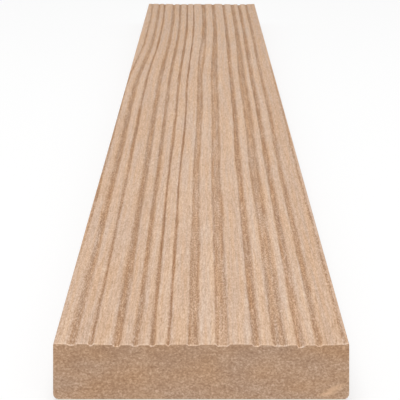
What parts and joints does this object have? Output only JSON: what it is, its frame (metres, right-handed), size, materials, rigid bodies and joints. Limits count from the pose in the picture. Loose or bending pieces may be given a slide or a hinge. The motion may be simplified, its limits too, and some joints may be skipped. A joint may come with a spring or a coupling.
{
  "type": "decking edge trim",
  "caption": "Flat solid wood-plastic composite bar with a wood-grain embossed face, fixed along the cut edge of a deck to cover it.",
  "frame": {"origin": "middle of the flat back, on the surface the trim lies on", "axes": "+X across the width, +Y along the length away from the front end, +Z out of the embossed face"},
  "size_m": [0.055, 2.2, 0.0104],
  "materials": {
    "composite": "matte"
  },
  "bodies": {
    "root": {"edge_trim": "composite"}
  },
  "joints": []
}
